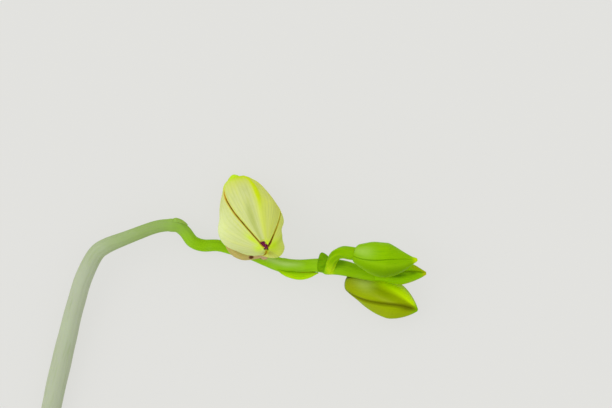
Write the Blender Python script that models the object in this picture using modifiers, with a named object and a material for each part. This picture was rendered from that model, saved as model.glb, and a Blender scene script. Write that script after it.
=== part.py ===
"""An orchid flower spike in bud, cut from the plant and laid down on a flat surface.

A bent green stem with three bracts carries a large bud near its middle and three
small buds at its end. Sizes are in millimetres here and become metres where an
object is made. The origin lies on the surface, under the middle of the spike,
+X runs along the spike towards its end and +Z points up from the surface.
"""

import bmesh
import bpy
import numpy as np

MM = 0.001
UP = np.array([0.0, 0.0, 1.0])

# Middle of the footprint in the coordinates of the stations below
MIDDLE = np.array([-1.99, -0.61, 0.0])

# Stations of the stem from its cut end: x, y, z of the centre and the radius
STEM = (
    (-58.6, -46.5, 2.88, 3.00),
    (-55.6, -34.6, 2.95, 2.95),
    (-52.9, -20.8, 3.6, 2.95),
    (-49.4, -5.8, 4.6, 2.90),
    (-46.2, 6.8, 5.6, 2.70),
    (-43.3, 16.0, 6.6, 2.55),
    (-40.0, 22.5, 7.4, 2.42),
    (-36.4, 25.4, 8.0, 2.30),
    (-29.5, 28.1, 8.3, 2.02),
    (-23.0, 30.6, 7.9, 1.85),
    (-18.6, 31.4, 7.3, 1.78),
    (-15.4, 31.1, 6.4, 1.78),
    (-13.2, 29.3, 5.3, 1.80),
    (-11.2, 26.6, 4.1, 1.88),
    (-8.2, 25.6, 3.0, 1.88),
    (-3.7, 25.3, 2.3, 1.80),
    (1.1, 24.2, 2.1, 1.85),
    (5.9, 22.9, 2.5, 1.75),
    (10.7, 21.1, 3.5, 1.90),
    (15.5, 19.5, 4.8, 2.10),
    (20.2, 19.2, 6.0, 2.05),
    (25.3, 19.5, 7.3, 2.05),
    (29.1, 19.3, 8.3, 2.20),
    (33.5, 18.6, 9.6, 2.05),
    (37.9, 17.3, 10.6, 1.90),
    (41.6, 16.4, 11.2, 1.75),
    (42.9, 16.4, 11.3, 1.20),
)

# Stations of the stalk of each bud, from the stem to the bud
LARGE_STALK = (
    (9.7, 22.8, 5.5, 1.30),
    (9.3, 23.1, 6.3, 1.35),
    (7.9, 22.9, 7.0, 1.40),
    (6.0, 22.6, 7.2, 1.45),
    (3.9, 22.6, 7.1, 1.50),
    (1.8, 23.5, 6.7, 1.50),
    (0.2, 25.2, 5.8, 1.40),
    (-0.6, 27.9, 4.3, 1.35),
    (-1.0, 31.4, 2.7, 1.30),
    (-1.0, 35.6, 1.6, 1.28),
    (-1.0, 39.2, 1.25, 1.25),
    (-0.4, 42.0, 1.6, 1.25),
    (0.4, 44.1, 2.7, 1.25),
    (1.1, 44.8, 4.1, 1.25),
    (1.7, 44.2, 5.6, 1.25),
    (2.1, 43.5, 6.5, 1.15),
)
UPPER_STALK = (
    (29.4, 19.5, 11.4, 1.50),
    (29.5, 20.0, 12.3, 1.60),
    (30.1, 21.7, 13.6, 1.60),
    (31.5, 23.1, 15.1, 1.55),
    (33.4, 23.7, 16.6, 1.60),
    (35.4, 23.6, 18.2, 1.45),
    (37.2, 23.3, 19.1, 1.15),
)
LOWER_STALK = (
    (35.9, 18.4, 6.85, 1.00),
    (35.2, 17.9, 6.5, 0.95),
    (34.7, 17.2, 6.1, 0.90),
    (34.5, 16.4, 5.7, 0.85),
    (34.8, 15.6, 5.5, 0.80),
)

# Each bud's spine is a curve from its base, drawn towards a middle point, to its
# tip. Its girth is a share of the radius: it is rounded off over the heel, grows
# from the neck to the belly at the shoulder's rate, and closes at the tip by two
# powers. Wide is its width against its depth. Places along a bud are shares of
# its length, and angles are degrees round the spine from the side that faces up.
# A seam is an angle at 0.6 of the length, its slope and its bend. The groove
# along the seams has a depth, and a power that deepens it towards the tip. A keel
# is a raised lobe: angle, place along, height, and width in radians. A pointed
# bud's sepals grow thin where they meet at the tip.
LARGE_BUD = {
    "spine": ((1.8, 44.1, 6.0), (6.1, 34.6, 12.4), (11.2, 24.8, 24.0)),
    "radius": 10.1,
    "wide": 0.92,
    "neck": 0.37,
    "heel": 0.06,
    "belly": 0.64,
    "shoulder": 0.9,
    "close": (1.56, 0.573),
    "seams": ((-27.3, 28.6, -19.0), (97.7, -53.7, -90.5)),
    "groove": (0.2, 1.0),
    "keels": ((-69.5, 0.78, 0.28, 0.52), (174.0, 0.82, 0.3, 0.47)),
    "pointed": False,
}
UPPER_BUD = {
    "spine": ((36.2, 23.7, 19.0), (48.5, 19.55, 19.7), (55.1, 21.8, 19.4)),
    "radius": 5.15,
    "wide": 1.0,
    "neck": 0.33,
    "heel": 0.042,
    "belly": 0.436,
    "shoulder": 0.65,
    "close": (1.27, 1.06),
    "seams": ((13.3, 58.5, -3.0), (133.3, 58.5, -3.0)),
    "groove": (0.05, 1.5),
    "keels": (),
    "pointed": True,
}
LOWER_BUD = {
    "spine": ((34.4, 15.4, 5.4), (48.1, 8.9, 4.9), (56.1, 6.0, 5.2)),
    "radius": 5.5,
    "wide": 1.0,
    "neck": 0.43,
    "heel": 0.09,
    "belly": 0.585,
    "shoulder": 0.78,
    "close": (1.5, 0.95),
    "seams": ((-11.0, 68.0, -110.0), (109.0, 68.0, -110.0)),
    "groove": (0.057, 1.5),
    "keels": (),
    "pointed": True,
}
TIP_BUD = {
    "spine": ((42.5, 16.5, 11.3), (51.3, 17.1, 11.6), (57.9, 17.4, 11.7)),
    "radius": 3.09,
    "wide": 1.0,
    "neck": 0.64,
    "heel": 0.03,
    "belly": 0.48,
    "shoulder": 1.14,
    "close": (1.3, 0.775),
    "seams": ((18.1, 20.8, 0.8), (138.1, 20.8, 0.8)),
    "groove": (0.053, 1.5),
    "keels": (),
    "pointed": True,
}

SEAM_AT = 0.6
GROOVE_WIDTH = 0.4
KEEL_REACH = 0.22

# Gap between neighbouring sepals, their thickness, and how far the folded petals
# lie inside them
SEAM_GAP = 0.35
LARGE_SEPAL = 1.1
SMALL_SEPAL = 0.8
PETAL_CLEAR = 0.95

# A pointed sepal is never thicker than this share of the bud's own half width,
# and its gap is measured this share of its thickness below the skin
THIN_SHARE = 0.7
GAP_SHARE = 0.6

# Cells across and along each kind of sheet, and round and along the petals
LARGE_CELLS = (12, 18)
SMALL_CELLS = (7, 14)
BRACT_CELLS = (8, 8)
PETAL_CELLS = (24, 16)
TUBE_STEPS = 3

# Bracts: distance from the cut end, length, angle round the stem from the side
# that faces up, half width in degrees, swell in the middle and lift at the tip
BRACTS = {
    "bract_bend": (97.1, 3.4, 75.0, 62.0, 0.05, 0.1),
    "bract_lower_side": (134.6, 10.0, -75.0, 58.0, 1.0, 0.0),
    "bract_end_buds": (145.4, 1.5, 80.0, 65.0, 0.3, 1.2),
}
BRACT_CLEAR = 0.3
BRACT_THICK = 0.6

# Colours as red, green, blue in linear light, with the roughness
COLOURS = {
    "stem": ((0.20, 0.42, 0.015), 0.45),
    "bract_fresh": ((0.30, 0.58, 0.01), 0.5),
    "stalk_tan": ((0.42, 0.36, 0.11), 0.55),
    "large_bud": ((0.62, 0.68, 0.18), 0.5),
    "petal": ((0.07, 0.004, 0.03), 0.6),
    "small_bud": ((0.25, 0.47, 0.006), 0.42),
    "lower_bud": ((0.27, 0.34, 0.01), 0.45),
}


def clear_scene():
    for obj in list(bpy.data.objects):
        bpy.data.objects.remove(obj, do_unlink=True)


def material(name):
    found = bpy.data.materials.get(name)
    if found:
        return found
    colour, roughness = COLOURS[name]
    made = bpy.data.materials.new(name)
    made.use_nodes = True
    shader = made.node_tree.nodes["Principled BSDF"]
    shader.inputs["Base Color"].default_value = (*colour, 1.0)
    shader.inputs["Roughness"].default_value = roughness
    shader.inputs["Metallic"].default_value = 0.0
    return made


def unit(vectors):
    return vectors / np.linalg.norm(vectors, axis=-1, keepdims=True)


def smooth_path(stations, steps):
    """A smooth curve through the stations, with steps points to each span."""
    at = np.array(stations)
    at = np.vstack([2 * at[0] - at[1], at, 2 * at[-1] - at[-2]])
    points = []
    for a, b, c, d in zip(at, at[1:], at[2:], at[3:]):
        for t in np.arange(steps) / steps:
            bend = (2 * a - 5 * b + 4 * c - d) * t**2 + (3 * (b - c) + d - a) * t**3
            points.append(b + ((c - a) * t + bend) / 2)
    points.append(at[-2])
    return np.array(points)


def directions(along):
    """The direction across a path that faces up, and the one to its side."""
    front = unit(UP - along * (along @ UP)[..., None])
    return front, np.cross(front, along)


def tube(name, stations, colour, home):
    """A round stem or stalk through its stations, closed at both ends."""
    path = smooth_path(stations, TUBE_STEPS)
    curve = bpy.data.curves.new(name, "CURVE")
    curve.dimensions = "3D"
    curve.bevel_depth = MM
    curve.bevel_resolution = 3
    curve.use_fill_caps = True
    spline = curve.splines.new("POLY")
    spline.points.add(len(path) - 1)
    for point, (x, y, z, radius) in zip(spline.points, path):
        point.co = ((x - MIDDLE[0]) * MM, (y - MIDDLE[1]) * MM, (z - MIDDLE[2]) * MM, 1.0)
        point.radius = radius
    spline.use_smooth = True
    curve.materials.append(material(colour))
    obj = bpy.data.objects.new(name, curve)
    home.objects.link(obj)
    return obj


def bud_seams(bud, t):
    """Angles of the two stated seams and of the third one, opposite them."""
    bends = np.stack([np.ones_like(t), t - SEAM_AT, (t - SEAM_AT) ** 2])
    left, right = (np.radians(np.tensordot(seam, bends, 1)) for seam in bud["seams"])
    return left, right, (left + right) / 2 + np.pi


def bell(angle, middle, width):
    """One at the middle angle, falling to nothing on both sides of it."""
    return np.exp(-((np.angle(np.exp(1j * (angle - middle))) / width) ** 2))


def bud_skin(bud, t, angle):
    """Points on the outside of a bud, at t from base to tip and an angle round it."""
    base, middle, tip = np.array(bud["spine"])
    u = t[..., None]
    centre = (1 - u) ** 2 * base + 2 * u * (1 - u) * middle + u**2 * tip
    along = unit((1 - u) * (middle - base) + u * (tip - middle))
    front, side = directions(along)
    rise = np.sin(np.pi / 2 * np.minimum(t / bud["belly"], 1)) ** bud["shoulder"]
    fall = np.clip((t - bud["belly"]) / (1 - bud["belly"]), 0, 1)
    heel = np.clip(1 - t / bud["heel"], 0, 1)
    girth = (bud["neck"] + (1 - bud["neck"]) * rise) * np.sqrt(1 - heel**2)
    girth = girth * (1 - fall ** bud["close"][0]) ** bud["close"][1]
    depth, growth = bud["groove"]
    seams = bud_seams(bud, t)
    form = 1 - depth * t**growth * sum(bell(angle, seam, GROOVE_WIDTH) for seam in seams)
    for keel_angle, keel_at, height, width in bud["keels"]:
        swell = height * np.exp(-(((t - keel_at) / KEEL_REACH) ** 2))
        form = form + swell * bell(angle, np.radians(keel_angle), width)
    reach = (bud["radius"] * girth * form)[..., None]
    across = np.cos(angle)[..., None] * front + bud["wide"] * np.sin(angle)[..., None] * side
    return centre + reach * across


def sheet(name, cells, place, thickness, colour, home):
    """A thin curved piece: a grid laid where place() says, then given thickness.

    place() also gives the share of the thickness that each point gets.
    """
    grid = bmesh.new()
    bmesh.ops.create_grid(grid, x_segments=cells[0], y_segments=cells[1], size=0.5)
    bmesh.ops.triangulate(grid, faces=grid.faces[:])
    flat = np.array([corner.co[:2] for corner in grid.verts]) + 0.5
    spots, shares = place(flat[:, 0], flat[:, 1])
    for corner, spot in zip(grid.verts, spots - MIDDLE):
        spot[2] = max(spot[2], 0.0)
        corner.co = spot * MM
    bmesh.ops.reverse_faces(grid, faces=grid.faces[:])
    for face in grid.faces:
        face.smooth = True
    mesh = bpy.data.meshes.new(name)
    grid.to_mesh(mesh)
    grid.free()
    mesh.materials.append(material(colour))
    obj = bpy.data.objects.new(name, mesh)
    home.objects.link(obj)
    group = obj.vertex_groups.new(name="thickness")
    for index, share in enumerate(shares):
        group.add([index], share, "REPLACE")
    solidify = obj.modifiers.new("thickness", "SOLIDIFY")
    solidify.thickness = thickness * MM
    solidify.offset = -1.0
    solidify.vertex_group = group.name
    return obj


def sepal(name, bud, which, ends, cells, thickness, colour, home, point=0.0):
    """One of a bud's three sepals, from seam to seam, less half a gap at each.

    The rows are closer together near both ends. point is the length, as a share
    of the bud, over which the sepal narrows to its tip.
    """

    def place(u, v):
        t = ends[0] + (ends[1] - ends[0]) * (1 - np.cos(np.pi * v)) / 2
        left, right, under = bud_seams(bud, t)
        low, high = ((left, right), (right, under), (under - 2 * np.pi, left))[which]
        middle = (low + high) / 2
        across = bud_skin(bud, t, middle) - bud_skin(bud, t, middle + np.pi)
        ring = np.linalg.norm(across, axis=-1) / 2
        shares = np.ones_like(t)
        if bud["pointed"]:
            shares = np.minimum(THIN_SHARE * ring / thickness, 1)
            ring = ring - GAP_SHARE * thickness * shares
        half = (high - low) / 2 - SEAM_GAP / 2 / ring
        if point:
            half = half * (1 - 0.85 * np.clip((t - ends[1] + point) / point, 0, 1) ** 1.5)
        return bud_skin(bud, t, middle + (2 * u - 1) * half), shares

    return sheet(name, cells, place, thickness, colour, home)


def folded_petals(name, bud, inset, ends, colour, home):
    """The petals folded inside a bud: its own form, smaller, with rounded ends.

    A ball's poles become the two ends, and the cap rounds off its last fifths.
    """
    ball = bmesh.new()
    around, along = PETAL_CELLS
    bmesh.ops.create_uvsphere(ball, u_segments=around, v_segments=along, radius=1.0)
    bmesh.ops.triangulate(ball, faces=ball.faces[:])
    at = np.array([corner.co for corner in ball.verts])
    share = np.arccos(np.clip(at[:, 2], -1, 1)) / np.pi
    angle = np.arctan2(at[:, 1], at[:, 0])
    t = ends[0] + (ends[1] - ends[0]) * share
    skin = bud_skin(bud, t, angle)
    centre = (bud_skin(bud, t, angle) + bud_skin(bud, t, angle + np.pi)) / 2
    reach = np.linalg.norm(skin - centre, axis=-1)
    cap = np.sqrt(np.clip(1 - np.maximum(np.abs(2 * share - 1) - 0.6, 0) ** 2 / 0.16, 0, 1))
    scale = (cap * (1 - inset / reach))[:, None]
    for corner, spot in zip(ball.verts, centre + (skin - centre) * scale - MIDDLE):
        corner.co = spot * MM
    bmesh.ops.recalc_face_normals(ball, faces=ball.faces[:])
    for face in ball.faces:
        face.smooth = True
    mesh = bpy.data.meshes.new(name)
    ball.to_mesh(mesh)
    ball.free()
    mesh.materials.append(material(colour))
    obj = bpy.data.objects.new(name, mesh)
    home.objects.link(obj)
    return obj


def bract(name, spec, colour, home):
    """A scale that clasps the stem at a node and narrows to a point along it."""
    start, length, angle, half_width, swell, lift = spec
    path = smooth_path(STEM, 8)
    steps = np.linalg.norm(np.diff(path[:, :3], axis=0), axis=1)
    distance = np.concatenate([[0.0], np.cumsum(steps)])

    def stem_at(s):
        return np.stack([np.interp(s, distance, path[:, i]) for i in range(4)], axis=-1)

    def place(u, v):
        s = start + length * v
        here = stem_at(s)
        along = unit(stem_at(s + 0.5)[:, :3] - stem_at(s - 0.5)[:, :3])
        front, side = directions(along)
        half = np.radians(half_width) * np.maximum((1 - v**1.8), 0.1)
        turn = np.radians(angle) + (2 * u - 1) * half
        outside = BRACT_CLEAR + BRACT_THICK + swell * np.sin(np.pi * v**0.7) + lift * v**2
        reach = (here[:, 3] + outside)[:, None]
        across = np.cos(turn)[:, None] * front + np.sin(turn)[:, None] * side
        return here[:, :3] + reach * across, np.ones_like(v)

    return sheet(name, BRACT_CELLS, place, BRACT_THICK, colour, home)


def build():
    clear_scene()
    home = bpy.data.collections.new("orchid_spike")
    bpy.context.scene.collection.children.link(home)

    tube("stem", STEM, "stem", home)
    tube("large_bud_stalk", LARGE_STALK, "stalk_tan", home)
    tube("upper_bud_stalk", UPPER_STALK, "small_bud", home)
    tube("lower_bud_stalk", LOWER_STALK, "small_bud", home)
    for name, spec in BRACTS.items():
        bract(name, spec, "bract_fresh", home)

    large = (
        ("large_bud_upper_sepal", 0, (0.007, 0.995), 0.03),
        ("large_bud_right_sepal", 1, (0.007, 0.998), 0.0),
        ("large_bud_left_sepal", 2, (0.007, 0.998), 0.0),
    )
    for name, which, ends, point in large:
        sepal(name, LARGE_BUD, which, ends, LARGE_CELLS, LARGE_SEPAL, "large_bud", home, point)
    inset = LARGE_SEPAL + PETAL_CLEAR
    folded_petals("large_bud_petals", LARGE_BUD, inset, (0.08, 0.945), "petal", home)
    small = (
        ("upper_bud", UPPER_BUD, (0.02, 0.975), "small_bud"),
        ("lower_bud", LOWER_BUD, (0.02, 0.985), "lower_bud"),
        ("tip_bud", TIP_BUD, (0.02, 0.97), "small_bud"),
    )
    for name, bud, ends, colour in small:
        for which in range(3):
            part = f"{name}_sepal_{which + 1}"
            sepal(part, bud, which, ends, SMALL_CELLS, SMALL_SEPAL, colour, home)


build()
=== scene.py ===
# %% [markdown]
# # An orchid flower spike in bud
#
# This is the end of an orchid's flower spike, cut and laid on a table: a bent stem, three
# small bracts, one large bud about to open, and three small buds at the end. The packed
# solids give every piece its place and size, and here each one gives way to a finely
# modelled skin with its own finish. Lengths are in millimetres until a mesh is made.

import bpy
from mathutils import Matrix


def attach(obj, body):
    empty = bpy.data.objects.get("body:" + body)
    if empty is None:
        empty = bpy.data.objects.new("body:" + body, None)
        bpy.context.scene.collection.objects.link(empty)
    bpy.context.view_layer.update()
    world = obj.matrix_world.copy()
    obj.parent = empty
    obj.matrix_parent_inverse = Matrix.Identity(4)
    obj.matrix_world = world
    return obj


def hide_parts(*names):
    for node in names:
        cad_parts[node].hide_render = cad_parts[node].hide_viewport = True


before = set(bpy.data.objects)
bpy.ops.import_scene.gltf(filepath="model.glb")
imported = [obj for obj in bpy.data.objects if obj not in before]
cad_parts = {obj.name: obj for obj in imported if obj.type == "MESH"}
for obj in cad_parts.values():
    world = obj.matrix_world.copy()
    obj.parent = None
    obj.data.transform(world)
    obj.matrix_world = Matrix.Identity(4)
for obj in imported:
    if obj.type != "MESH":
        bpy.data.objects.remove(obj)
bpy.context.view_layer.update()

import bpy
import numpy as np

MM = 0.001
UP = np.array([0.0, 0.0, 1.0])
# Middle of the footprint in the coordinates of the stations below
MIDDLE = np.array([-1.99, -0.61, 0.0])


def linear(red, green, blue):
    """A screen colour, from 0 to 255, as the linear light that a shader takes."""
    share = np.array([red, green, blue]) / 255
    light = np.where(share <= 0.04045, share / 12.92, ((share + 0.055) / 1.055) ** 2.4)
    return (*light.tolist(), 1.0)


print("a fresh green in linear light:", [round(c, 3) for c in linear(143, 186, 58)])

# %% [markdown]
# ## Camera
#
# The spike lies down, so the view that shows its shape is the one from straight above.
# A long lens from about 60 cm keeps the buds' proportions natural. The focal length
# could be set by eye, but it follows exactly from the angle that the picture covers.

# %% Make the camera
IMAGE_WIDTH = 612
FOCAL_PIXELS = 2006
SENSOR_MM = 36.0
CAMERA_PLACE = (24.59, 38.31, 602.0)

lens = bpy.data.cameras.new("camera")
lens.sensor_width = SENSOR_MM
lens.lens = SENSOR_MM * FOCAL_PIXELS / IMAGE_WIDTH
camera = bpy.data.objects.new("camera", lens)
camera.location = [x * MM for x in CAMERA_PLACE]
bpy.context.scene.collection.objects.link(camera)
bpy.context.scene.camera = camera
print("lens in mm:", round(lens.lens, 1))

# %% [markdown]
# ## Floor and light
#
# A plain pale floor keeps the attention on the plant. Like a light table, it sends out
# part of its light itself, so the shadows stay faint and the undersides stay green. A
# broad sun from the left models the forms, as a window would. A lamp close by would light
# one end of the spike more than the other, while a sun lights all of it alike.

# %% Make the floor
FLOOR_SIDE = 6.0
FLOOR_PAINT = {
    "Base Color": linear(90, 89, 88),
    "Roughness": 0.9,
    "Specular IOR Level": 0.0,
    "Emission Color": linear(255, 255, 251),
    "Emission Strength": 0.648,
}


def painted(name, sockets):
    """A material whose shader has the given values on its sockets."""
    material = bpy.data.materials.new(name)
    material.use_nodes = True
    shader = material.node_tree.nodes["Principled BSDF"]
    for socket, value in sockets.items():
        shader.inputs[socket].default_value = value
    return material


bpy.ops.mesh.primitive_plane_add(size=FLOOR_SIDE)
floor = bpy.context.object
floor.name = "floor"
floor.data.materials.append(painted("floor_paint", FLOOR_PAINT))
print("floor side in m:", FLOOR_SIDE)

# %% Make the lights
SKY = {"Color": linear(250, 251, 253), "Strength": 1.0}
KEY_FROM = (-0.7, 0.25, 0.7)
KEY_STRENGTH = 0.8
KEY_WIDTH = 50.0

sky = bpy.data.worlds.new("sky")
sky.use_nodes = True
for socket, value in SKY.items():
    sky.node_tree.nodes["Background"].inputs[socket].default_value = value
bpy.context.scene.world = sky
bpy.context.scene.view_settings.view_transform = "Standard"
key = bpy.data.lights.new("key", "SUN")
key.energy = KEY_STRENGTH
key.angle = np.radians(KEY_WIDTH)
lamp = bpy.data.objects.new("key", key)
lamp.location = KEY_FROM
lamp.rotation_mode = "QUATERNION"
lamp.rotation_quaternion = lamp.location.to_track_quat("Z", "Y")
bpy.context.scene.collection.objects.link(lamp)
print("width of the sun in degrees:", KEY_WIDTH)

# %% [markdown]
# ## Curves with a thickness
#
# A stem isn't a straight pipe: its centre line and its radius both wander. A few
# stations, each a place and a radius, describe it. A Bezier curve would need handles set
# one by one, so a Catmull-Rom curve is used, which passes through every station. It is
# read again at even steps, so that the skin's cells are all alike.


# %% Read a curve at even steps
def unit(vectors):
    return vectors / np.linalg.norm(vectors, axis=-1, keepdims=True)


def smooth_path(stations, steps):
    """A smooth curve through the stations, with steps points to each span."""
    at = np.array(stations)
    at = np.vstack([2 * at[0] - at[1], at, 2 * at[-1] - at[-2]])
    points = []
    for a, b, c, d in zip(at, at[1:], at[2:], at[3:]):
        for t in np.arange(steps) / steps:
            bend = (2 * a - 5 * b + 4 * c - d) * t**2 + (3 * (b - c) + d - a) * t**3
            points.append(b + ((c - a) * t + bend) / 2)
    points.append(at[-2])
    return np.array(points)


STEPS_PER_SPAN = 16


def even_path(stations, spacing):
    """Distances from the start, and x, y, z and radius there, about spacing apart."""
    path = smooth_path(stations, STEPS_PER_SPAN)
    steps = np.linalg.norm(np.diff(path[:, :3], axis=0), axis=1)
    travelled = np.concatenate([[0.0], np.cumsum(steps)])
    distance = np.linspace(0, travelled[-1], round(travelled[-1] / spacing) + 1)
    return distance, np.stack([np.interp(distance, travelled, path[:, i]) for i in range(4)], axis=-1)


# %% Directions across a curve
def facing_up(along):
    """The direction across a path that faces up, and the one to its side."""
    front = unit(UP - along * (along @ UP)[..., None])
    return front, np.cross(front, along)


def carried(along):
    """The same pair, carried along a path that may stand upright, with no twist."""
    front = np.empty_like(along)
    front[0] = facing_up(along[0])[0]
    for i in range(1, len(along)):
        front[i] = unit(front[i - 1] - along[i] * (front[i - 1] @ along[i]))
    return front, np.cross(front, along)


def tangents(path):
    return unit(np.gradient(path[:, :3], axis=0))


print("up, across a path along +X:", facing_up(np.array([1.0, 0.0, 0.0]))[0])


# %% Soft forms for reliefs and marks
def clamp(value):
    """The value, kept between none and all."""
    return np.clip(value, 0, 1)


def hump(value, width):
    """One where the value is zero, falling to nothing on both sides."""
    return np.exp(-((value / width) ** 2))


def bell(angle, middle, width):
    """A hump over the angles round a piece."""
    return hump(np.angle(np.exp(1j * (angle - middle))), width)


def fine_lines(t, across, count, lean):
    """Lengthwise lines, count of them in a unit across, that lean along t."""
    return np.cos(2 * np.pi * count * across + lean * t)


def fading(t):
    """One halfway along, falling to nothing at both ends."""
    return np.sin(np.pi * clamp(t)) ** 0.5


def all_round(sides):
    """Even angles round a section, from the side that faces up."""
    return np.linspace(0, 2 * np.pi, sides, endpoint=False)


print("a hump at half its width:", round(float(hump(0.5, 1.0)), 2))

# %% [markdown]
# ## From a grid of places to a mesh
#
# Every skin here is a grid: rows run along the piece and columns run across it. Filling
# it face by face with loops is slow, so the corner numbers are worked out as arrays.
# Each point also carries named values, such as its distance from a seam, which the
# finishes read. So a brown seam can't slip off the edge that it colours, as a texture
# painted on a flat map might.


# %% Grids and meshes
def grid_faces(rows, columns, closed):
    """Corner numbers of the quads over a grid. closed joins the last column to the first."""
    at = np.arange(rows * columns).reshape(rows, columns)
    if closed:
        at = np.column_stack([at, at[:, 0]])
    corners = (at[:-1, :-1], at[1:, :-1], at[1:, 1:], at[:-1, 1:])
    return np.stack(corners, axis=-1).reshape(-1, 4).tolist()


def mesh_of(name, places, faces, values):
    """A mesh from places in millimetres, none under the floor, with a value at each point."""
    spots = places.reshape(-1, 3) - MIDDLE
    spots[:, 2] = np.maximum(spots[:, 2], 0)
    mesh = bpy.data.meshes.new(name)
    mesh.from_pydata((spots * MM).tolist(), [], faces)
    for key, value in values.items():
        vector = value.ndim == places.ndim
        layer = mesh.attributes.new(key, "FLOAT_VECTOR" if vector else "FLOAT", "POINT")
        layer.data.foreach_set("vector" if vector else "value", value.astype(np.float32).ravel())
    mesh.update()
    return mesh


def add_piece(name, mesh, finish, nodes):
    """Shows the mesh in place of its plain solids, riding with the spike."""
    mesh.materials.append(finish)
    mesh.shade_smooth()
    made = bpy.data.objects.new(name, mesh)
    bpy.context.scene.collection.objects.link(made)
    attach(made, "root")
    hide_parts(*nodes)
    print(name, "has", len(mesh.polygons), "faces")
    return made


print("quads in a ring of 3 rows and 8 columns:", len(grid_faces(3, 8, True)))

# %% [markdown]
# ## Finishes from nodes
#
# A finish is a Principled shader with a chain of nodes in front of its colour. Wiring
# nodes by hand takes four lines each, so a helper adds a node, feeds its inputs and hands
# back its output, and another lays a tint over the colour so far, as a painter lays
# glazes. What is the same all over, such as the strength of the reflections, is set on
# the shader itself. The gloss isn't: skin is duller where its grain stands up.


# %% A helper that wires nodes
SHINE = 0.02
# The finest relief: cells of grain in a metre, and the depth of grain and fibres in mm
GRAIN = 2600.0
FINE_DEPTH = 0.03
# Heights of that relief between which the gloss falls off, and by how much
DULL_HEIGHTS = (0.8, 1.8)
UNEVEN_GLOSS = 0.09


class Finish:
    """A skin's material, and the nodes that paint it."""

    def __init__(self, name, base, sockets):
        self.material = painted(name, {"Specular IOR Level": SHINE, **sockets})
        self.tree = self.material.node_tree
        self.shader = self.tree.nodes["Principled BSDF"]
        self.colour = base

    def node(self, kind, inputs, output=0, **settings):
        """Adds a node fed with outputs of others, numbers or screen colours."""
        made = self.tree.nodes.new("ShaderNode" + kind)
        for key, value in settings.items():
            setattr(made, key, value)
        for key, value in inputs.items():
            if isinstance(value, bpy.types.NodeSocket):
                self.tree.links.new(value, made.inputs[key])
            else:
                tinted = made.inputs[key].type == "RGBA"
                made.inputs[key].default_value = linear(*value) if tinted else value
        return made.outputs[output]

    def value(self, name):
        """A named value of the mesh's points. A node's output is handed back as it is."""
        if isinstance(name, bpy.types.NodeSocket):
            return name
        return self.node("Attribute", {}, "Fac", attribute_name=name)

    def place(self):
        """Where a point is on the piece, in metres."""
        return self.node("TexCoord", {}, "Object")

    def noise(self, where, scale, detail=2.0):
        return self.node("TexNoise", {"Vector": where, "Scale": scale, "Detail": detail})

    def streaks(self, scale, detail=3.0):
        """Noise that is drawn out along the fibres."""
        fibre = self.node("Attribute", {}, "Vector", attribute_name="fibre")
        return self.noise(fibre, scale, detail)

    def band(self, value, low, high, most=1.0, least=0.0):
        """From least at low smoothly to most at high. low may be the larger of the two."""
        inputs = {"Value": self.value(value), "From Min": low, "From Max": high}
        inputs.update({"To Min": least, "To Max": most})
        return self.node("MapRange", inputs, interpolation_type="SMOOTHSTEP")

    def maths(self, operation, first, second):
        return self.node("Math", {0: first, 1: second}, operation=operation)

    def times(self, product, *factors):
        for factor in factors:
            product = self.maths("MULTIPLY", product, factor)
        return product

    def mix(self, factor, first, second, blend="MIX"):
        inputs = {0: factor, 6: first, 7: second}
        return self.node("Mix", inputs, 2, data_type="RGBA", blend_type=blend)

    def lay(self, tint, where, *limits):
        """Lays a tint over the colour so far: where a value says, or within a band of it."""
        where = self.band(where, *limits) if limits else self.value(where)
        self.colour = self.mix(where, self.colour, tint)

    def done(self, fibres, share, depth_mm=FINE_DEPTH):
        """Joins the colour, the fine relief of grain and fibres, and a gloss duller on its heights."""
        self.tree.links.new(self.colour, self.shader.inputs["Base Color"])
        height = self.maths("ADD", self.noise(self.place(), GRAIN, 1.0), self.times(fibres, share))
        rough = self.shader.inputs["Roughness"].default_value
        dull = self.band(height, *DULL_HEIGHTS, rough + UNEVEN_GLOSS, rough - UNEVEN_GLOSS)
        self.tree.links.new(dull, self.shader.inputs["Roughness"])
        inputs = {"Height": height, "Distance": depth_mm * MM, "Strength": 1.0}
        self.tree.links.new(self.node("Bump", inputs), self.shader.inputs["Normal"])
        return self.material


print("cells of grain in a millimetre:", GRAIN * MM)

# %% [markdown]
# ## The stem
#
# The stem is round and smooth, with faint lengthwise ribs, and a swollen joint wherever
# a bract grows. Its foot is a plain cut, where the flesh shows pale, dotted with darker
# strands. A curve object with a bevel would be quicker, but it has no joints or ribs, so
# the skin is a grid whose radius is that of the stations plus a small relief.

# %% Where the stem runs
# Stations from the cut end: x, y, z of the centre, and the radius
STEM = (
    (-58.6, -46.5, 2.88, 3.0), (-55.6, -34.6, 2.95, 2.95),
    (-52.9, -20.8, 3.6, 2.95), (-49.4, -5.8, 4.6, 2.9),
    (-46.2, 6.8, 5.6, 2.7), (-43.3, 16.0, 6.6, 2.55),
    (-40.0, 22.5, 7.4, 2.42), (-36.4, 25.4, 8.0, 2.3),
    (-29.5, 28.1, 8.3, 2.02), (-23.0, 30.6, 7.9, 1.85),
    (-18.6, 31.4, 7.3, 1.78), (-15.4, 31.1, 6.4, 1.78),
    (-13.3, 29.35, 5.3, 1.8), (-11.3, 26.6, 4.1, 1.88),
    (-8.3, 25.4, 3.0, 1.88), (-3.7, 25.3, 2.3, 1.8),
    (1.1, 24.2, 2.1, 1.85), (5.9, 22.9, 2.5, 1.75),
    (10.7, 21.1, 3.5, 1.9), (15.5, 19.5, 4.8, 2.1),
    (20.2, 19.2, 6.0, 2.05), (25.3, 19.5, 7.3, 2.05),
    (29.1, 19.3, 8.3, 2.2), (33.5, 18.85, 9.6, 2.25),
    (37.9, 17.75, 10.6, 1.95), (41.6, 16.95, 11.2, 1.8),
    (44.2, 16.8, 11.4, 1.7),
)
STEM_SPACING = 0.3
STEM_SIDES = 64

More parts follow.
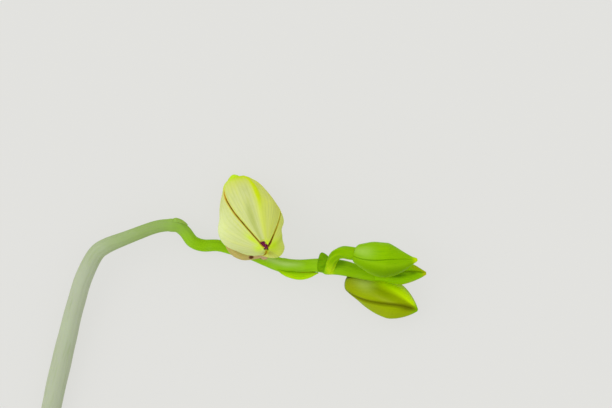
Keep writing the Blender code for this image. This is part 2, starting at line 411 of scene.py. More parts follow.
stem_distance, stem_path = even_path(STEM, STEM_SPACING)
print("length of the stem in mm:", round(stem_distance[-1], 1))

# %% Ribs and joints
# Joints: distance from the cut end, height and width of the swelling
JOINTS = ((96.7, 0.15, 1.6), (134.3, 0.1, 1.6), (147.6, 0.4, 2.2))
# How much steeper a joint is on the side of the cut end
JOINT_START = 3
# Ribs: height, number round the stem, turn in a millimetre. Waves: height, pace along it
STEM_RIBS = ((0.030, 9, 0.02), (0.018, 15, -0.03))
SLOW_WAVE = (0.05, 0.21)
QUICK_WAVE = (0.03, 0.6)


def swellings(distance):
    """The joints, each a swelling that starts sharply and fades upward."""
    total = 0.0
    for at, height, width in JOINTS:
        ahead = (distance - at) / width
        total = total + height * hump(np.where(ahead < 0, JOINT_START * ahead, ahead), 1)
    return total


def stem_relief(distance, turn):
    """How far the skin stands proud of the round section."""
    ribs = sum(height * np.cos(count * turn + twist * distance) for height, count, twist in STEM_RIBS)
    slow = SLOW_WAVE[0] * np.sin(SLOW_WAVE[1] * distance + 2 * np.cos(turn))
    quick = QUICK_WAVE[0] * np.sin(QUICK_WAVE[1] * distance + turn)
    return ribs + (slow + quick) + swellings(distance)


print("height of the joints in mm:", [height for _, height, _ in JOINTS])


# %% A tube with a relief
def tube_rows(path, directions, relief):
    """Places round a path, a row for each of its points. relief is given for every place."""
    turn = all_round(relief.shape[1])
    front, side = directions
    across = np.cos(turn)[:, None] * front[:, None] + np.sin(turn)[:, None] * side[:, None]
    return path[:, None, :3] + (path[:, 3:4] + relief)[..., None] * across


def fibres_round(reach, turn, distance):
    """Coordinates round and along a tube, for streaks drawn out along it."""
    return np.stack([reach * np.cos(turn), reach * np.sin(turn), distance], axis=-1)


def tube_mesh(name, rows, values):
    """A closed tube from its rows, with a flat face at each end."""
    count, sides = rows.shape[:2]
    faces = grid_faces(count, sides, True)
    faces.append(list(range(sides)))
    faces.append(list(range(count * sides - 1, (count - 1) * sides - 1, -1)))
    return mesh_of(name, rows, faces, values)


# %% The cut end
# Rings from the middle of the cut to its rim, as shares of the radius
CUT_RINGS = np.array([0.03, 0.2, 0.4, 0.58, 0.72, 0.83, 0.91, 0.96, 0.985])
# Depths in mm of its hollow and of the cone in that, the share of the radius where the
# cone begins, and how far the rim stands out, as a share of the hollow
CUT_HOLLOW = 0.35
CUT_CONE = 0.12
CONE_FROM = 0.9
RIM_PROUD = 0.2


def with_cut(rows, along):
    """The rows with the rings of a slightly hollow cut before them."""
    middle = rows[0].mean(axis=0)
    ring = CUT_RINGS[:, None, None]
    sunk = CUT_HOLLOW * (1 - ring**2) + CUT_CONE * clamp((CONE_FROM - ring) / CONE_FROM)
    cut = middle + (rows[0] - middle) * ring + along[0] * (sunk - CUT_HOLLOW * RIM_PROUD)
    return np.vstack([cut, rows])


# %% Paint for the stem
STEM_OLD = (170, 178, 150)
STEM_ARCH = (142, 166, 94)
STEM_FRESH = (140, 190, 18)
STEM_END = (130, 176, 2)
STEM_STREAK = (112, 164, 14)
OLD_STREAK = (146, 162, 112)
OLD_BLOOM = (172, 186, 152)
STEM_BLOOM = (158, 196, 74)
# Painted shade, where the upper bud's stalk shades the stem behind the collar
STEM_SHADE = (88, 134, 0)
# A painted highlight along the side of the stem that faces up
STEM_SHEEN = (176, 208, 112)
COLLAR = (180, 212, 12)
FLESH = (206, 217, 158)
STRAND = (139, 152, 84)
DRY_RIM = (150, 126, 74)
# Shares of the stem's length between which one green gives way to the next
OLD_TO_ARCH = (0.38, 0.56)
ARCH_TO_FRESH = (0.54, 0.66)
FRESH_TO_END = (0.9, 0.96)
# Clouds of bloom, and strands in the flesh, in a metre
CLOUDS = 160.0
STRANDS = 1500.0
# Shares of the cut's radius: where the flesh begins and where its rim has dried
FLESH_FROM = (0.001, 0.01)
RIM_FROM = (0.8, 0.97)
# How green skin lets light in
GREEN_SKIN = {"Subsurface Weight": 0.1, "Subsurface Scale": 0.001, "Subsurface Radius": (0.8, 1.0, 0.3)}


def stem_finish():
    """Green that freshens along the stem, in streaks, with a bright collar and a pale cut."""
    paint = Finish("stem_skin", STEM_OLD, {**GREEN_SKIN, "Roughness": 0.4, "Subsurface Scale": 0.0015})
    fresh = paint.band("along", *ARCH_TO_FRESH)
    paint.lay(STEM_ARCH, "along", *OLD_TO_ARCH)
    paint.lay(STEM_FRESH, fresh)
    paint.lay(STEM_END, "along", *FRESH_TO_END)
    streaks = paint.streaks(1.6)
    paint.lay(paint.mix(fresh, OLD_STREAK, STEM_STREAK), streaks, 0.5, 0.75, 0.4)
    clouds = paint.noise(paint.place(), CLOUDS)
    paint.lay(paint.mix(fresh, OLD_BLOOM, STEM_BLOOM), clouds, 0.5, 0.8, 0.3)
    # A painted highlight along the upper side of the stem
    paint.lay(STEM_SHEEN, "sheen")
    paint.lay(COLLAR, "collar")
    # Painted shade on the stem behind the collar
    paint.lay(STEM_SHADE, "shade")
    dots = paint.node("TexVoronoi", {"Vector": paint.place(), "Scale": STRANDS}, "Distance")
    flesh = paint.mix(paint.band(dots, 0.34, 0.18, 0.8), FLESH, STRAND)
    paint.lay(paint.mix(paint.band("cut", *RIM_FROM), flesh, DRY_RIM), "cut", *FLESH_FROM)
    return paint.done(streaks, 1.5)


# %% Build the stem
# The bright collar below the end buds, painted shade on the stem behind it, and a painted
# highlight along the side that faces up: distances from the cut end, angles in radians, strengths
COLLAR_AT, COLLAR_WIDTH, COLLAR_STRENGTH = 149.3, 1.1, 0.85
SHADE_AT, SHADE_LENGTH, SHADE_STRENGTH = 152.0, 1.6, 0.8
SHADE_TURN, SHADE_SPREAD = 0.9, 0.75
SHEEN_FROM, SHEEN_TO, SHEEN_STRENGTH = 118.0, 142.0, 0.75
SHEEN_FADES = (3.0, 6.0)
SHEEN_TURN, SHEEN_SPREAD = 0.3, 0.4
# How many times longer than wide the streaks are
STEM_STRETCH = 12

turn = all_round(STEM_SIDES)
level = np.ones(STEM_SIDES)
stem_along = tangents(stem_path)
relief = stem_relief(stem_distance[:, None], turn)
rows = with_cut(tube_rows(stem_path, facing_up(stem_along), relief), stem_along)
cut = np.concatenate([CUT_RINGS, np.zeros(len(stem_path))])[:, None] * level
distance = np.concatenate([np.zeros(len(CUT_RINGS)), stem_distance])[:, None] * level
radius = np.concatenate([CUT_RINGS * stem_path[0, 3], stem_path[:, 3]])[:, None]
collar = np.exp(-(np.abs((distance - COLLAR_AT) / COLLAR_WIDTH) ** 3))
shade = hump(distance - SHADE_AT, SHADE_LENGTH) * hump(turn - SHADE_TURN, SHADE_SPREAD)
sheen = clamp((distance - SHEEN_FROM) / SHEEN_FADES[0]) * clamp((SHEEN_TO - distance) / SHEEN_FADES[1])
stem_values = {
    "along": distance / stem_distance[-1],
    "fibre": fibres_round(radius, turn, distance / STEM_STRETCH),
    "collar": COLLAR_STRENGTH * collar,
    "shade": SHADE_STRENGTH * shade,
    "sheen": SHEEN_STRENGTH * sheen * bell(turn, SHEEN_TURN, SHEEN_SPREAD),
    "cut": cut,
}
stem_mesh = tube_mesh("stem_skin", rows, stem_values)
add_piece("stem_skin", stem_mesh, stem_finish(), ["stem"])

# %% [markdown]
# ## Bracts
#
# A bract is a small scale that clasps the stem where a bud may grow: a thin sheet with
# fine veins, brown along one dry edge. It could be cut from a flat outline and bent, but
# it has to follow the stem, so its places are worked out from the stem's own curve.

# %% Where the bracts clasp the stem
# Distance from the cut end, length, angle round the stem from the side that faces up,
# half width in degrees, swell, where the swell is (a power: below 1 it is nearer the
# foot), lift along its middle line, and the power that makes its end blunt
BRACTS = {
    "bract_bend": (97.1, 3.6, 82.0, 50.0, 0.1, 0.7, 0.1, 1.8),
    "bract_lower_side": (133.4, 11.8, -88.0, 44.0, 1.68, 1.1, 0.0, 1.6),
    "bract_end_buds": (145.3, 2.9, 80.0, 140.0, 0.25, 0.7, 1.3, 8.0),
}
BRACT_CELLS = (60, 60)
BRACT_THICK = 0.45
# How far a bract stands off the stem in mm, and the share of that at its foot and edges;
# it is reached within a fifth of the length
BRACT_CLEAR = 0.3
FOOT_CLEAR = 0.1
EDGE_CLEAR = 0.3
FOOT_RISE = 5
LIFT_WIDTH = 0.16
# Height and number of its ribs, the square of the least share of its width, at its end,
# and how much it follows the stem's joints
BRACT_RIBS = (0.03, 9)
LEAST_WIDTH = 0.004
JOINT_SHARE = 0.6
# The stem's direction is read from this far on both sides of a place
NEARBY = 0.5


def stem_at(distance):
    return np.stack([np.interp(distance, stem_distance, stem_path[:, i]) for i in range(4)], axis=-1)


def bract_places(start, length, angle, half_width, swell, swell_at, lift, blunt):
    """Places over a bract, with the share along it and the share from its middle to its edge."""
    rows, columns = BRACT_CELLS
    v, u = np.meshgrid(np.linspace(0, 1, rows), np.linspace(-1, 1, columns), indexing="ij")
    at = start + length * v
    here = stem_at(at)
    front, side = facing_up(unit(stem_at(at + NEARBY)[..., :3] - stem_at(at - NEARBY)[..., :3]))
    half = np.radians(half_width) * np.sqrt(np.maximum(1 - v**blunt, LEAST_WIDTH))
    turn = np.radians(angle) + u * half
    round_edge = 1 - u**4
    clear = np.minimum(1, FOOT_RISE * v + FOOT_CLEAR) * (EDGE_CLEAR + (1 - EDGE_CLEAR) * round_edge)
    outside = BRACT_CLEAR * clear + swell * np.sin(np.pi * v**swell_at) * round_edge
    outside += lift * np.sin(np.pi * v**0.5) * hump(u, LIFT_WIDTH)
    outside += BRACT_RIBS[0] * np.cos(BRACT_RIBS[1] * np.pi * u) * np.sin(np.pi * v)
    outside += JOINT_SHARE * swellings(at)
    across = np.cos(turn)[..., None] * front + np.sin(turn)[..., None] * side
    return here[..., :3] + (here[..., 3] + outside)[..., None] * across, v, u


# %% Thickness for a thin sheet
def thicken(piece, thickness, shares):
    """Gives a sheet its thickness, on its inner side, scaled by a share at each point."""
    group = piece.vertex_groups.new(name="thickness")
    for index, share in enumerate(shares.ravel().tolist()):
        group.add([index], share, "REPLACE")
    solidify = piece.modifiers.new("thickness", "SOLIDIFY")
    solidify.thickness = thickness * MM
    solidify.offset = -1.0
    solidify.vertex_group = group.name


# %% Paint for the bracts
BRACT_COLOURS = {
    "bract_bend": ((146, 180, 78), (134, 166, 66)),
    "bract_lower_side": ((172, 216, 6), (144, 194, 4)),
    "bract_end_buds": ((112, 160, 2), (88, 134, 0)),
}
BRACT_DRY = (158, 128, 22)
BRACT_MARGIN = (130, 180, 4)


def bract_finish(name, green, vein):
    """Green with lengthwise veins, the stem's green near its edges, and one dry edge."""
    soft = {"Roughness": 0.45, "Subsurface Weight": 0.15, "Subsurface Scale": 0.001}
    paint = Finish(name, green, soft)
    veins = paint.streaks(2.2, 2.0)
    paint.lay(vein, veins, 0.42, 0.7, 0.6)
    paint.lay(BRACT_MARGIN, "margin", 0.1, 0.9, 0.8)
    paint.lay(BRACT_DRY, "dry", 0.3, 1.0, 0.6)
    return paint.done(veins, 2.0)


# %% Build the bracts
for name, spec in BRACTS.items():
    places, v, u = bract_places(*spec)
    values = {
        "fibre": np.stack([4 * u, np.zeros_like(u), v], axis=-1),
        "dry": np.maximum(u, 0) ** 16 * clamp(2.5 * v - 0.5),
        "margin": np.maximum(np.abs(u) ** 3, clamp(1 - 4 * v)) * (name == "bract_lower_side"),
    }
    mesh = mesh_of(name + "_scale", places, grid_faces(*BRACT_CELLS, False), values)
    paint = bract_finish(name + "_skin", *BRACT_COLOURS[name])
    thicken(add_piece(name + "_scale", mesh, paint, [name]), BRACT_THICK, np.ones_like(u))

# %% [markdown]
# ## The form of a bud
#
# A bud is three sepals that meet along three seams. Each could be sculpted by hand, but
# they must close on one another without gaps, so one formula gives the whole skin: a
# spine from base to tip, a girth that grows to the belly and closes at the tip, and an
# angle round the spine. A sepal is the part of that skin between two seams.

# %% Sizes of the buds
# Spine: base, a middle point that it is drawn towards, and tip. Girth is a share of the
# radius: rounded over the heel, growing from neck to belly, closing by two powers. Wide
# is its breadth against its depth. Seams and the upper sepal's rib are an angle from the
# side that faces up, its slope and its bend. The groove at a seam is a depth, and the
# power by which it grows. Keels are raised lobes: angle, place along, height, width.
# Swells are small bulges and hollows: place along, length, angle, width, height in mm.
LARGE_BUD = {
    "spine": ((1.8, 44.1, 6.0), (6.1, 34.6, 12.4), (11.2, 24.8, 24.0)),
    "radius": 10.1, "wide": 0.92, "neck": 0.37, "heel": 0.06, "belly": 0.64, "shoulder": 0.9,
    "close": (1.56, 0.573),
    "seams": ((-27.3, 28.6, -19), (89, -14, -130)),
    "rib": (29.3, -22, 8),
    "groove": (0.2, 1.0),
    "keels": ((-69.5, 0.78, 0.28, 0.52), (174, 0.82, 0.3, 0.47)),
    "swells": (
        (0.645, 0.07, 88, 18, 0.35), (0.23, 0.12, 67, 16, 0.3),
        (0.05, 0.06, -22, 28, 0.4), (0.04, 0.05, -75, 30, 0.2),
        (0.61, 0.08, -68, 16, 0.25), (0.9, 0.05, 148, 22, 1.5),
        (0.76, 0.07, 122, 18, -1.7), (0.67, 0.05, 132, 16, -0.7),
        (0.83, 0.04, 112, 16, -0.3), (0.94, 0.05, 162, 22, 1.2),
    ),
}
UPPER_BUD = {
    "spine": ((36.2, 23.7, 19.0), (48.5, 19.55, 19.7), (55.1, 21.8, 19.4)),
    "radius": 5.15, "wide": 1.0, "neck": 0.33, "heel": 0.042, "belly": 0.436, "shoulder": 0.65,
    "close": (1.27, 1.06),
    "seams": ((10.8, 36, -45), (133.3, 58.5, -3)),
    "rib": (62, 30, 0),
    "groove": (0.05, 1.5),
    "keels": (),
    "swells": ((0.2, 0.09, 90, 35, 0.25), (0.15, 0.1, -85, 30, -0.15), (0.97, 0.05, -40, 120, 0.4)),
}
LOWER_BUD = {
    "spine": ((34.4, 15.4, 5.4), (48.1, 8.9, 4.9), (56.1, 6.0, 5.2)),
    "radius": 5.5, "wide": 1.0, "neck": 0.43, "heel": 0.05, "belly": 0.585, "shoulder": 0.78,
    "close": (1.5, 0.95),
    "seams": ((-11, 68, -110), (109, 68, -110)),
    "rib": (38.5, -60, 125),
    "groove": (0.057, 1.5),
    "keels": (), "swells": (),
}
TIP_BUD = {
    "spine": ((42.5, 16.6, 11.3), (51.3, 17.15, 11.6), (58.4, 17.3, 11.8)),
    "radius": 3.09, "wide": 1.0, "neck": 0.64, "heel": 0.03, "belly": 0.48, "shoulder": 1.14,
    "close": (1.3, 0.775),
    "seams": ((18.1, 20.8, 0.8), (138.1, 20.8, 0.8)),
    "rib": (75, 20, 0),
    "groove": (0.053, 1.5),
    "keels": (),
    "swells": ((0.72, 0.12, 85, 35, 0.55), (0.1, 0.2, -88, 50, -0.75)),
}
# Where along a bud its angles hold, and how wide a groove and how long a keel is
ANGLES_AT = 0.6
GROOVE_WIDTH = 0.4
KEEL_REACH = 0.22


# %% The bud's skin
def angle_along(line, t):
    """An angle in radians along a bud, from its value, slope and bend."""
    return np.radians(line[0] + line[1] * (t - ANGLES_AT) + line[2] * (t - ANGLES_AT) ** 2)


def bud_seams(bud, t):
    """Angles of the two stated seams and of the third one, opposite them."""
    left, right = (angle_along(seam, t) for seam in bud["seams"])
    return left, right, (left + right) / 2 + np.pi


def bud_girth(bud, t):
    rise = np.sin(np.pi / 2 * np.minimum(t / bud["belly"], 1)) ** bud["shoulder"]
    fall = clamp((t - bud["belly"]) / (1 - bud["belly"]))
    heel = clamp(1 - t / bud["heel"])
    girth = (bud["neck"] + (1 - bud["neck"]) * rise) * np.sqrt(1 - heel**2)
    return girth * (1 - fall ** bud["close"][0]) ** bud["close"][1]


def bud_skin(bud, t, angle, raised=0.0):
    """Places on a bud, at t from base to tip and an angle round it, raised by millimetres."""
    base, middle, tip = np.array(bud["spine"])
    u = t[..., None]
    centre = (1 - u) ** 2 * base + 2 * u * (1 - u) * middle + u**2 * tip
    along = unit((1 - u) * (middle - base) + u * (tip - middle))
    front, side = facing_up(along)
    depth, growth = bud["groove"]
    form = 1 - depth * t**growth * sum(bell(angle, seam, GROOVE_WIDTH) for seam in bud_seams(bud, t))
    for keel_angle, keel_at, height, width in bud["keels"]:
        form = form + height * hump(t - keel_at, KEEL_REACH) * bell(angle, np.radians(keel_angle), width)
    reach = (bud["radius"] * bud_girth(bud, t) * form + raised)[..., None]
    across = np.cos(angle)[..., None] * front + bud["wide"] * np.sin(angle)[..., None] * side
    return centre + reach * across


two_sides = np.radians([90, -90])
right, left = bud_skin(LARGE_BUD, np.full(2, LARGE_BUD["belly"]), two_sides)
print("large bud across its belly in mm:", round(float(np.linalg.norm(right - left)), 1))

# %% [markdown]
# ## One sepal
#
# A sepal's own coordinates do most of the work. Along runs from base to tip, across runs
# from -1 at one seam through 0 at the rib to 1 at the other, and edge is the distance to
# the nearest seam in millimetres. Veins drawn by hand would have to be bent one by one,
# but at fixed places across they fan out over the belly and meet again at both ends, as
# in the living sepal. The columns crowd towards the seams, where the relief is finest.

# %% Coordinates over a sepal
SEAM_GAP = 0.04
# Where the tip starts to part, and the power by which it opens
PARTS_FROM = 0.967
PARTS_POWER = 0.55
# How near the rib may come to a seam, as a share of the sepal's width
RIB_MARGIN = 0.15


def crowded(count, short=0.0):
    """Shares from none to all, or a little short of that, closer together at both ends."""
    return (1 - np.cos(np.linspace(short, np.pi - short, count))) / 2


def between(ends, share):
    return ends[0] + (ends[1] - ends[0]) * share


def sepal_coordinates(bud, which, ends, cells, parted):
    """Along, angle, across, edge and the bud's half width there, over a grid of cells.

    parted says how far the two edges draw back near the tip, in radians.
    """
    rows, columns = cells
    t = between(ends, crowded(rows))[:, None] * np.ones(columns)
    left, right, under = bud_seams(bud, t)
    low, high = ((left, right), (right, under), (under - 2 * np.pi, left))[which]
    middle = (low + high) / 2
    ring = np.linalg.norm(bud_skin(bud, t, middle) - bud_skin(bud, t, middle + np.pi), axis=-1) / 2
    opening = clamp((t - PARTS_FROM) / (ends[1] - PARTS_FROM)) ** PARTS_POWER
    low = low + SEAM_GAP / 2 / ring + parted[0] * opening
    high = high - SEAM_GAP / 2 / ring - parted[1] * opening
    angle = between((low, high), (np.linspace(0, 1, columns) + crowded(columns)) / 2)
    rib = angle_along(bud["rib"], t) if which == 0 else (low + high) / 2
    rib = np.clip(rib, between((low, high), RIB_MARGIN), between((high, low), RIB_MARGIN))
    across = np.where(angle < rib, (angle - rib) / (rib - low), (angle - rib) / (high - rib))
    edge = np.minimum(angle - low, high - angle) * ring
    return t, angle, across, edge, ring


# %% Swells, blushes and the rolled edge
# Place and width of the bead beside a seam, in widths of the roll
BEAD_AT = 2.2
BEAD_WIDTH = 1.2


def patch(t, angle, at, length, turn, width):
    """One at a place on a bud, at a share along it and an angle in degrees, fading round it."""
    return hump(t - at, length) * bell(angle, np.radians(turn), np.radians(width))


def bud_swells(bud, t, angle):
    return sum((height * patch(t, angle, *spot) for *spot, height in bud["swells"]), np.zeros_like(t))


def seam_lip(edge, height, depth, width):
    """A small bead beside a seam, and the roll of the edge down into it."""
    return height * hump(edge - BEAD_AT * width, BEAD_WIDTH * width) - depth * hump(edge, width)


# %% The finished sepal
# A sepal thins to this share of the bud's half width, and has its full relief from this
# half width in mm
THIN_SHARE = 0.7
FULL_RELIEF = 2.5
# Fibres: units across a sepal, from one sepal to the next, and along the bud
FIBRE_UNITS = (5, 3.7, 2)


def add_sepal(name, which, ends, parted, bud, cells, thickness, relief, marks, blushes, finish, slot):
    """Builds one sepal. relief and marks are functions of its coordinates."""
    t, angle, across, edge, ring = sepal_coordinates(bud, which, ends, cells, parted)
    raised = relief(which, t, across, edge) * np.minimum(ring / FULL_RELIEF, 1) + bud_swells(bud, t, angle)
    fibre = np.stack([across, np.full_like(t, which), t], axis=-1) * FIBRE_UNITS
    values = {"along": t, "across": across, "edge": edge, "fibre": fibre, **marks(which, t, across)}
    for blush, (spot, _, strength) in blushes.items():
        values["blush_" + blush] = strength * patch(t, angle, *spot)
    mesh = mesh_of(name + "_skin", bud_skin(bud, t, angle, raised), grid_faces(*cells, False), values)
    piece = add_piece(name + "_skin", mesh, finish, [name])
    thicken(piece, thickness, np.minimum(THIN_SHARE * ring / thickness, 1))


def lay_blushes(paint, blushes):
    for blush, (_, tint, _) in blushes.items():
        paint.lay(tint, "blush_" + blush)


# %% [markdown]
# ## The large bud
#
# The large bud is about to open. Its sepals have turned from green to cream with a
# yellow-green flush at the base, the tip and along the rib. They are softly pleated, with
# brown edges. At the very tip they have begun to part, and the dark petals show. Pleats,
# rib and veins are modelled, since they catch the light, and the finer streaks are paint
# and bump.

# %% Relief of the large bud
# Soft pleats, and fine veins with their lean, in a unit across, and heights in mm
PLEATS = 2.1
PLEAT_HEIGHT = 0.11
VEINS = (9, 3)
VEIN_HEIGHT = 0.014
RIB_HEIGHT = 0.3
SIDE_RIB_HEIGHT = 0.15
RIB_WIDTH = 0.075
WAVE_HEIGHT = 0.1
# Height of the bead at a seam, depth and width of the roll
LARGE_LIP = (0.1, 0.25, 0.16)


def large_relief(which, t, across, edge):
    """Rib, pleats, veins and the rolled edge of a large sepal."""
    pleats = PLEAT_HEIGHT * np.cos(2 * np.pi * PLEATS * across) * (1 - np.abs(across) ** 3)
    veins = VEIN_HEIGHT * fine_lines(t, across, *VEINS)
    rib = (RIB_HEIGHT * (1.2 - t) if which == 0 else SIDE_RIB_HEIGHT) * hump(across, RIB_WIDTH)
    waves = WAVE_HEIGHT * np.sin(7 * t + 3 * across + 2 * which) * np.cos(4 * t - 2 * across)
    return (pleats + veins + rib + waves) * fading(t) + seam_lip(edge, *LARGE_LIP)


# %% Marks on the large bud
# How yellow-green the sepals are: the upper one left and right of its rib, the others
FLUSH_LEFT, FLUSH_RIGHT = 0.04, 0.44
FLUSH_RIGHT_SEPAL = 0.5
FLUSH_LEFT_SEPAL = 0.05
# The bright line of the rib and the glow round it, as widths across
CORE_WIDTH = 0.085
GLOW_WIDTH = 0.2
# The painted shade in a fold of the upper sepal: its place across, how that leans, and its width
FOLD_AT = -0.38
FOLD_LEAN = -0.55
FOLD_WIDTH = 0.17
TONGUE_FROM = 0.965
RIPE_FROM = 0.9


def large_marks(which, t, across):
    """Where a large sepal is flushed or ripe, where its rib and veins run, and where its fold holds painted
    shade.
    """
    upper = which == 0
    rise = (FLUSH_RIGHT - FLUSH_LEFT) / (1 + np.exp(-12 * (across - 0.1)))
    flush = (FLUSH_LEFT + rise, FLUSH_RIGHT_SEPAL, FLUSH_LEFT_SEPAL)[which]
    fold_line = FOLD_AT + FOLD_LEAN * (t - ANGLES_AT)
    return {
        "flush": flush * np.ones_like(t),
        "ripe": clamp((t - RIPE_FROM) / 0.06) * clamp(-across) * (which == 1),
        "tongue": clamp((t - TONGUE_FROM) / 0.012) * upper,
        "rib": hump(across, CORE_WIDTH) * clamp((0.86 - t) / 0.3) * upper,
        "glow": hump(across - 0.03, GLOW_WIDTH) * clamp((t - 0.15) / 0.2) * upper,
        "vein": fine_lines(t, across, *VEINS) * 0.5 + 0.5,
        "fold": hump(across - fold_line, FOLD_WIDTH) * clamp((t - 0.5) * 3.5) * upper,
    }


# %% Paint for the large bud
CREAM = (199, 206, 139)
FLUSH = (210, 218, 44)
RIB = (196, 216, 0)
GLOW = (208, 220, 66)
VEIN = (176, 187, 84)
# Painted shade in the trough of a pleat
FOLD_SHADE = (166, 177, 86)
LIP = (200, 220, 10)
SEAM = (136, 102, 4)
SEAM_ORANGE = (196, 142, 34)
SEAM_HALO = (214, 178, 60)
RIPE_EDGE = (104, 56, 20)
CREAM_SKIN = {
    "Roughness": 0.5,
    "Subsurface Weight": 0.15,
    "Subsurface Scale": 0.0012,
    "Subsurface Radius": (1.0, 1.0, 0.5),
}
# Shares of the bud's length where the brown seam starts and ends, and its halo ends
SEAM_STARTS = (0.1, 0.25)
SEAM_ENDS = (0.999, 0.993)
HALO_ENDS = (0.6, 0.35)
# A blush: place along, length, angle and width in degrees, then its colour and strength
LARGE_BLUSHES = {
    # belly: a painted highlight on the left sepal
    "belly": ((0.62, 0.2, -75, 30), (226, 238, 174), 0.65),
    "top": ((0.16, 0.16, 10, 60), (204, 214, 70), 0.6),
    "hood": ((0.05, 0.07, 30, 90), (186, 214, 0), 1),
    "brow": ((0.11, 0.07, 34, 34), (194, 216, 14), 0.65),
    "crown": ((0.2, 0.12, 78, 26), (196, 208, 20), 0.85),
    "right_side": ((0.5, 0.22, 72, 14), (190, 190, 44), 0.75),
    "left_lip": ((0.93, 0.06, -34, 9), (196, 224, 0), 0.85),
    "left_corner": ((0.985, 0.02, -60, 45), (196, 228, 20), 0.8),
    "tongue": ((0.985, 0.012, 38, 14), (206, 236, 30), 0.9),
    "lobe": ((0.985, 0.05, 110, 45), (190, 224, 0), 0.9),
    "lobe_fold": ((0.86, 0.1, 112, 12), (160, 184, 36), 0.6),
    # under: the olive-brown of the third seam near the tip, partly painted shade where the left sepal meets
    # the right lobe
    "under": ((0.99, 0.02, 201, 40), (146, 140, 10), 0.9),
    "low_rim": ((0.8, 0.2, -120, 20), (200, 224, 110), 0.5),
}


def large_bud_finish():
    """Cream with yellow-green blushes, faint veins, painted shade in a fold, a bright rib and brown seams;
    one blush is a painted highlight, another partly painted shade.
    """
    paint = Finish("large_bud_skin", CREAM, CREAM_SKIN)
    streaks = paint.streaks(2.0)
    paint.lay(FLUSH, paint.maths("ADD", paint.value("flush"), paint.band(streaks, 0.45, 0.8, 0.3)))
    paint.lay(VEIN, "vein", 0.4, 1.0, 0.25)
    paint.lay(VEIN, streaks, 0.55, 0.3, 0.35)
    # Painted shade in the fold of the upper sepal
    paint.lay(FOLD_SHADE, "fold", 0.0, 1.0, 0.7)
    paint.lay(GLOW, "glow", 0.0, 1.0, 0.6)
    lay_blushes(paint, LARGE_BLUSHES)
    paint.lay(RIB, "rib", 0.1, 0.8, 0.95)
    paint.lay(LIP, "edge", 0.9, 0.3, 0.45)
    starts = paint.band("along", *SEAM_STARTS)
    halo = paint.times(starts, paint.band("edge", 0.9, 0.3, 0.4), paint.band("along", *HALO_ENDS))
    paint.lay(SEAM_HALO, halo)
    dark = paint.times(starts, paint.band("edge", 0.46, 0.1, 0.9), paint.band("along", *SEAM_ENDS))
    dark = paint.maths("SUBTRACT", dark, paint.value("tongue"))
    patchy = paint.streaks(6.0, 2.0)
    seam = paint.mix(paint.band(patchy, 0.45, 0.62), SEAM, SEAM_ORANGE)
    paint.lay(paint.mix(paint.band("along", 0.5, 0.25, 0.7), seam, SEAM_ORANGE), dark)
    paint.lay(RIPE_EDGE, paint.times(paint.value("ripe"), paint.band("edge", 0.55, 0.25, 0.95)))
    return paint.done(streaks, 2.0)


# %% Build the large sepals
LARGE_CELLS = (140, 90)
LARGE_THICK = 0.7

large_paint = large_bud_finish()
# Which side each sepal has, its ends along the bud, and how far its edges draw back
large_sepals = (
    ("large_bud_upper_sepal", 0, (0.002, 0.99), (0.9, 0.15)),
    ("large_bud_right_sepal", 1, (0.002, 0.997), (0.05, 0.0)),
    ("large_bud_left_sepal", 2, (0.002, 0.997), (0.0, 0.1)),
)
large_form = (LARGE_BUD, LARGE_CELLS, LARGE_THICK, large_relief, large_marks, LARGE_BLUSHES)
for sepal in large_sepals:
    add_sepal(*sepal, *large_form, large_paint, "large_bud_skin")

# %% [markdown]
# ## The petals inside
#
# Between the parted tips a little of the folded petals shows, a deep maroon. They are
# one body here, because only their dark surface between the sepals' tips is ever seen:
# the bud's own form again, smaller, and creased where petal lies over petal.

# %% Build the petals
PETAL_CELLS = (60, 72)
PETAL_ENDS = (0.08, 0.99)
# How deep under the bud's skin the petals lie, in mm, over the belly and at the tip
PETAL_INSET = (2.2, 0.8)
INSET_FROM = 0.6
INSET_OVER = 0.35
CREASE = 0.25
CREASES = 2.5
# The share of its half length over which each end closes
CLOSING = 0.4
MAROON = (170, 50, 108)
MAROON_DARK = (112, 24, 70)

share = crowded(PETAL_CELLS[0], 0.02)
t = between(PETAL_ENDS, share)[:, None] * np.ones(PETAL_CELLS[1])
angle = all_round(PETAL_CELLS[1]) * np.ones_like(t)
inset = between(PETAL_INSET, np.clip(t - INSET_FROM, 0, INSET_OVER) / INSET_OVER)
sunk = inset + CREASE * np.abs(np.sin(CREASES * angle + 2 * t)) * clamp(t * 2)
half = LARGE_BUD["radius"] * bud_girth(LARGE_BUD, t)
end = clamp(np.abs(2 * share[:, None] - 1) - (1 - CLOSING)) / CLOSING
closed = 1 - np.sqrt(np.clip(1 - end**2, 0.0004, 1))
raised = -np.minimum(sunk, 0.9 * half) - closed * np.maximum(half - sunk, 0)

petal_paint = Finish("petal_skin", MAROON, {"Roughness": 0.55, "Sheen Weight": 0.15})
mottle = petal_paint.streaks(3.0)
petal_paint.lay(MAROON_DARK, mottle, 0.35, 0.7)
petal_paint.done(mottle, 1.0, 0.04)
petal_values = {"fibre": fibres_round(3, angle, 2 * t)}
petal_mesh = tube_mesh("large_bud_petals_skin", bud_skin(LARGE_BUD, t, angle, raised), petal_values)
add_piece("large_bud_petals_skin", petal_mesh, petal_paint.material, ["large_bud_petals"])

# %% [markdown]
# ## The small buds
#
# The small buds are younger: hard, pointed and green, with fine lines along them and
# edges pressed tightly together. One form serves all three, with a ridge along each
# sepal. The lower bud has begun to turn olive, and its ridges stand higher.

# %% Relief of the small buds
# Fine lines in a unit across, and their lean
SMALL_LINES = (8, 2)
LINE_HEIGHT = 0.012
HOLLOW_AT = -0.5
HOLLOW_WIDTH = 0.22
BEAD_HEIGHT = 0.05


